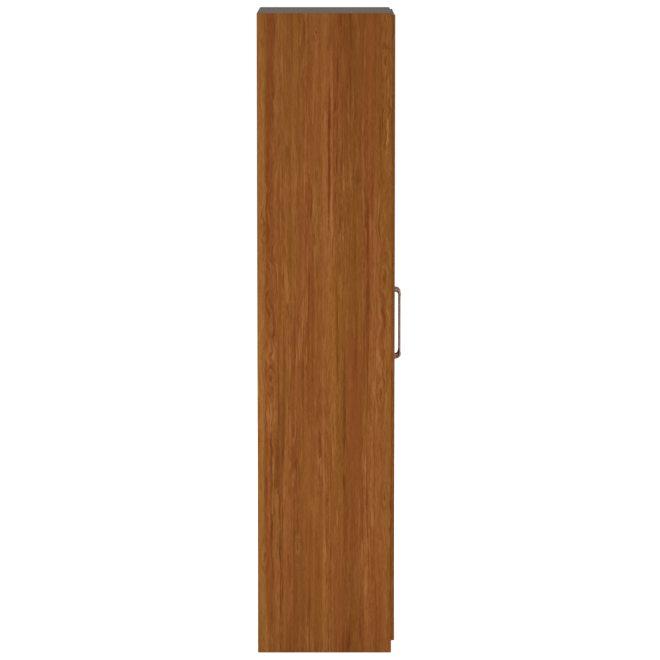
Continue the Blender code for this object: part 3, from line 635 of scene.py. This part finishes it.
EVEN_LINES = (400, 400, 400)
UPRIGHT_LINES = (900, 900, 60)
RAIL_LINES = (900, 40, 900)
PIVOT = metal_material("dull_zinc_plate", (80, 78, 75), (104, 102, 99), (0.55, 0.70), EVEN_LINES, 0.00002)
BRACKET = metal_material("cast_zinc", (108, 106, 103), (136, 134, 131), (0.50, 0.65), EVEN_LINES, 0.00003)
ZINC = metal_material("zinc_plate", (146, 144, 140), (182, 180, 177), (0.38, 0.52), EVEN_LINES, 0.00002)
SATIN = metal_material("satin_nickel", (98, 80, 70), (138, 118, 106), (0.24, 0.36), UPRIGHT_LINES, 0.00002)
RAIL = metal_material("satin_tube", (190, 190, 191), (212, 212, 213), (0.40, 0.50), RAIL_LINES, 0.000002)
# the painted grey sheen for the faces that look up
PAINTED_SHEEN_MATERIAL = painted_sheen_material()
FINISHES = {
    "left_side_panel": wood_material("wood_left_side", (0.0, 0.0, 0.0), board="left_side_panel",
                                     **SIDE, **LEFT_SIDE_GRAIN),
    "right_side_panel": wood_material("wood_right_side", (4.1, 2.3, 1.7), board="right_side_panel",
                                      **SIDE, **RIGHT_SIDE_GRAIN),
    "left_door": wood_material("wood_left_door", (1.3, 7.2, 3.1), board="left_door",
                               **DOOR, **LEFT_DOOR_GRAIN),
    "right_door": wood_material("wood_right_door", (2.6, 5.9, 5.3), board="right_door",
                                **DOOR, **RIGHT_DOOR_GRAIN),
    "top_panel": wood_material("wood_top", (3.7, 6.1, 8.3), **FLAT),
    "back_panel": back_material(),
    "rail_bracket_front": BRACKET,
    "rail_bracket_rear": BRACKET,
}
SLOT_FINISHES = {
    "wood_laminate": wood_material("wood_flat_boards", (5.2, 3.4, 2.9), **FLAT),
    "satin_metal": SATIN,
    "rail_metal": RAIL,
    "zinc_plate": ZINC,
    "white_nylon": moulded_material("nylon", (212, 209, 198), (230, 228, 220), 0.42, 0.4, 0.00003),
    "brown_plastic": moulded_material("brown_plastic", (72, 48, 31), (94, 66, 44), 0.5, 0.35, 0.00004),
    "ferrite": moulded_material("ferrite", (40, 40, 42), (62, 62, 64), 0.6, 0.4, 0.00005),
    "clear_rubber": moulded_material("soft_bumper", (176, 174, 166), (200, 198, 190), 0.35, 0.4, 0.00002),
}
BOARD_SLOTS = ("wood_laminate", "grey_laminate", "hardboard")
# boards whose faces that look up get the painted grey sheen
PAINTED_SHEEN_BOARDS = ("top_panel", "left_side_panel", "right_side_panel", "left_door", "right_door")


# Rounded edges and screw recesses

def geometry_group(name):
    socket = {"Geometry": GEOMETRY}
    t, entry = new_group("GeometryNodeTree", name, socket, socket)
    return t, entry["Geometry"]


def weld_group():
    """Joins a piece's triangles and lets them shade smoothly."""
    t, mesh = geometry_group("weld")
    joined = t.add("GeometryNodeMergeByDistance", {"Geometry": mesh, "Distance": WELD}).outputs[0]
    plain = t.add("GeometryNodeRemoveAttribute", {"Geometry": joined, "Name": "custom_normal"}).outputs[0]
    smooth = t.add("GeometryNodeSetShadeSmooth", {"Geometry": plain}).outputs[0]
    return end_group(t, Geometry=smooth)


def mark_group(name, least):
    """Marks the outer corners that are rounded: sharp edges of at least a given length."""
    t, mesh = geometry_group(name)
    angle = t.add("GeometryNodeInputMeshEdgeAngle").outputs["Signed Angle"]
    ends = t.add("GeometryNodeInputMeshEdgeVertices").outputs
    length = t.vector("DISTANCE", ends["Position 1"], ends["Position 2"])["Value"]
    corner = t.math("GREATER_THAN", angle, CORNER_ABOVE)
    chosen = t.math("MULTIPLY", corner, t.math("GREATER_THAN", length, least))
    stored = t.add("GeometryNodeStoreNamedAttribute",
                   {"Geometry": mesh, "Name": "bevel_weight_edge", "Value": chosen},
                   data_type="FLOAT", domain="EDGE").outputs[0]
    return end_group(t, Geometry=stored)


def sharp_group():
    """Keeps the edges above an angle sharp."""
    t, mesh = geometry_group("sharp_edges")
    angle = t.add("GeometryNodeInputMeshEdgeAngle").outputs["Unsigned Angle"]
    sharp = t.math("GREATER_THAN", angle, SHARP_ABOVE)
    shaded = t.add("GeometryNodeSetShadeSmooth",
                   {"Geometry": mesh, "Selection": sharp, "Shade Smooth": False}, domain="EDGE").outputs[0]
    return end_group(t, Geometry=shaded)


def recess_group(name, facing_front, arm, width, depth):
    """Cuts a cross recess into the end of a screw that faces the front or the rear."""
    t, mesh = geometry_group(name)
    box = t.add("GeometryNodeBoundBox", {"Geometry": mesh}).outputs
    low, high = box["Min"], box["Max"]
    middle = t.axes(t.vector("MULTIPLY", t.vector("ADD", low, high)[0], (0.5, 0.5, 0.5))[0])
    face = t.axes(low if facing_front else high)
    place = t.combined(X=middle["X"], Y=face["Y"], Z=middle["Z"])
    cut = t.add("GeometryNodeMeshBoolean", {"Mesh 1": mesh}, operation="DIFFERENCE", solver="EXACT")
    for size in ((arm, 2 * depth, width), (width, 2 * depth, arm)):
        bar = t.add("GeometryNodeMeshCube", {"Size": size}).outputs[0]
        plated = t.add("GeometryNodeSetMaterial", {"Geometry": bar, "Material": ZINC}).outputs[0]
        placed = t.add("GeometryNodeTransform", {"Geometry": plated, "Translation": place}).outputs[0]
        t.tree.links.new(placed, cut.inputs["Mesh 2"])
    return end_group(t, Geometry=cut.outputs[0])


def painted_sheen_group():
    """Paints grey on the faces that look up: a painted sheen in place of the light they catch at a grazing
    angle.
    """
    t, mesh = geometry_group("painted_sheen_top")
    height = t.axes(t.add("GeometryNodeInputNormal").outputs["Normal"])["Z"]
    up = t.math("GREATER_THAN", height, UPWARD)
    painted = t.add("GeometryNodeSetMaterial", {"Geometry": mesh, "Selection": up, "Material": PAINTED_SHEEN_MATERIAL})
    return end_group(t, Geometry=painted.outputs[0])


def add_nodes(piece, group):
    piece.modifiers.new(group.name, "NODES").node_group = group


def round_edges(piece, mark, radius, clamp):
    flat = piece.modifiers.new("flat_faces", "DECIMATE")
    flat.decimate_type = "DISSOLVE"
    flat.angle_limit = FLAT_BELOW
    add_nodes(piece, mark)
    arris = piece.modifiers.new("arris", "BEVEL")
    arris.limit_method = "WEIGHT"
    arris.width = radius
    arris.segments = ARRIS_SEGMENTS
    arris.use_clamp_overlap = clamp


WELD_TRIANGLES = weld_group()
KEEP_SHARP = sharp_group()
PAINTED_SHEEN_FACES = painted_sheen_group()
BOARD_CORNERS = mark_group("board_corners", BOARD_LEAST_EDGE)
FITTING_CORNERS = mark_group("fitting_corners", FITTING_LEAST_EDGE)
RECESSES = {
    "pivot_screw": recess_group("pivot_screw_recess", True, *SMALL_RECESS),
    "strike_screw": recess_group("strike_screw_recess", False, *SMALL_RECESS),
    "handle_screw": recess_group("handle_screw_recess", False, *LARGE_RECESS),
}

for part in frame["record"]["subparts"]:
    name, slot = part["node"], part["material_slot"]
    piece = NODES[name]
    finish = PIVOT if name.endswith("_pivot") else FINISHES.get(name) or SLOT_FINISHES[slot]
    piece.data.materials.clear()
    piece.data.materials.append(finish)
    add_nodes(piece, WELD_TRIANGLES)
    if slot in BOARD_SLOTS:
        round_edges(piece, BOARD_CORNERS, BOARD_ARRIS, False)
    else:
        round_edges(piece, FITTING_CORNERS, FITTING_ARRIS, True)
    for kind, recess in RECESSES.items():
        if kind in name:
            add_nodes(piece, recess)
    # paint the grey sheen on the faces that look up
    if name in PAINTED_SHEEN_BOARDS:
        add_nodes(piece, PAINTED_SHEEN_FACES)
    add_nodes(piece, KEEP_SHARP)
    piece.modifiers.new("shading", "WEIGHTED_NORMAL").keep_sharp = True


# Studio

def seen_by_lens(t):
    """1 for the rays that show the studio itself: the camera's, and those by way of metal or glass."""
    path = t.add("ShaderNodeLightPath").outputs
    bent = t.math("MAXIMUM", path["Is Glossy Ray"], path["Is Transmission Ray"])
    return t.math("MAXIMUM", path["Is Camera Ray"], bent)


def stage_material():
    """White to the camera, with the object's shadow kept, and a pale floor to other rays."""
    material = bpy.data.materials.new("studio_floor")
    material.use_nodes = True
    t = Tree(material.node_tree)
    t.tree.nodes.clear()
    albedo = (FLOOR_ALBEDO, FLOOR_ALBEDO, FLOOR_ALBEDO, 1)
    diffuse = t.add("ShaderNodeBsdfDiffuse", {"Color": albedo}).outputs[0]
    strength = t.math("MULTIPLY", seen_by_lens(t), FLOOR_GLOW)
    glow = t.add("ShaderNodeEmission", {"Strength": strength}).outputs[0]
    both = t.add("ShaderNodeAddShader", {0: diffuse, 1: glow}).outputs[0]
    t.add("ShaderNodeOutputMaterial", {"Surface": both})
    return material


def make_floor():
    half = FLOOR_SIZE / 2
    corners = [(-half, -half, 0), (half, -half, 0), (half, half, 0), (-half, half, 0)]
    mesh = bpy.data.meshes.new("studio_floor")
    mesh.from_pydata(corners, [], [(0, 1, 2, 3)])
    mesh.materials.append(stage_material())
    floor = bpy.data.objects.new("studio_floor", mesh)
    bpy.context.scene.collection.objects.link(floor)


def make_world():
    world = bpy.data.worlds.new("studio")
    world.use_nodes = True
    t = Tree(world.node_tree)
    background = world.node_tree.nodes["Background"]
    background.inputs["Color"].default_value = (1, 1, 1, 1)
    strength = t.math("MULTIPLY_ADD", seen_by_lens(t), 1 - WORLD_LIGHT, WORLD_LIGHT)
    t.tree.links.new(strength, background.inputs["Strength"])
    bpy.context.scene.world = world


def add_lamp(name, place, aim_height, size, power):
    data = bpy.data.lights.new(name, "AREA")
    data.shape = "DISK"
    data.size = size
    data.energy = power
    lamp = bpy.data.objects.new(name, data)
    lamp.location = place
    aim = Vector((0, 0, aim_height)) - Vector(place)
    lamp.rotation_euler = aim.to_track_quat("-Z", "Y").to_euler()
    bpy.context.scene.collection.objects.link(lamp)


def make_camera():
    data = bpy.data.cameras.new("camera")
    data.sensor_fit = "HORIZONTAL"
    data.angle = math.radians(CAMERA_ANGLE)
    data.clip_end = CAMERA_REACH
    camera = bpy.data.objects.new("camera", data)
    camera.location = CAMERA_PLACE
    camera.rotation_euler = (math.radians(90 - CAMERA_TILT), 0, math.radians(CAMERA_HEADING))
    bpy.context.scene.collection.objects.link(camera)
    bpy.context.scene.camera = camera


make_floor()
make_world()
for name, lamp in LAMPS.items():
    add_lamp(name, *lamp)
make_camera()
bpy.context.scene.view_settings.view_transform = "Standard"
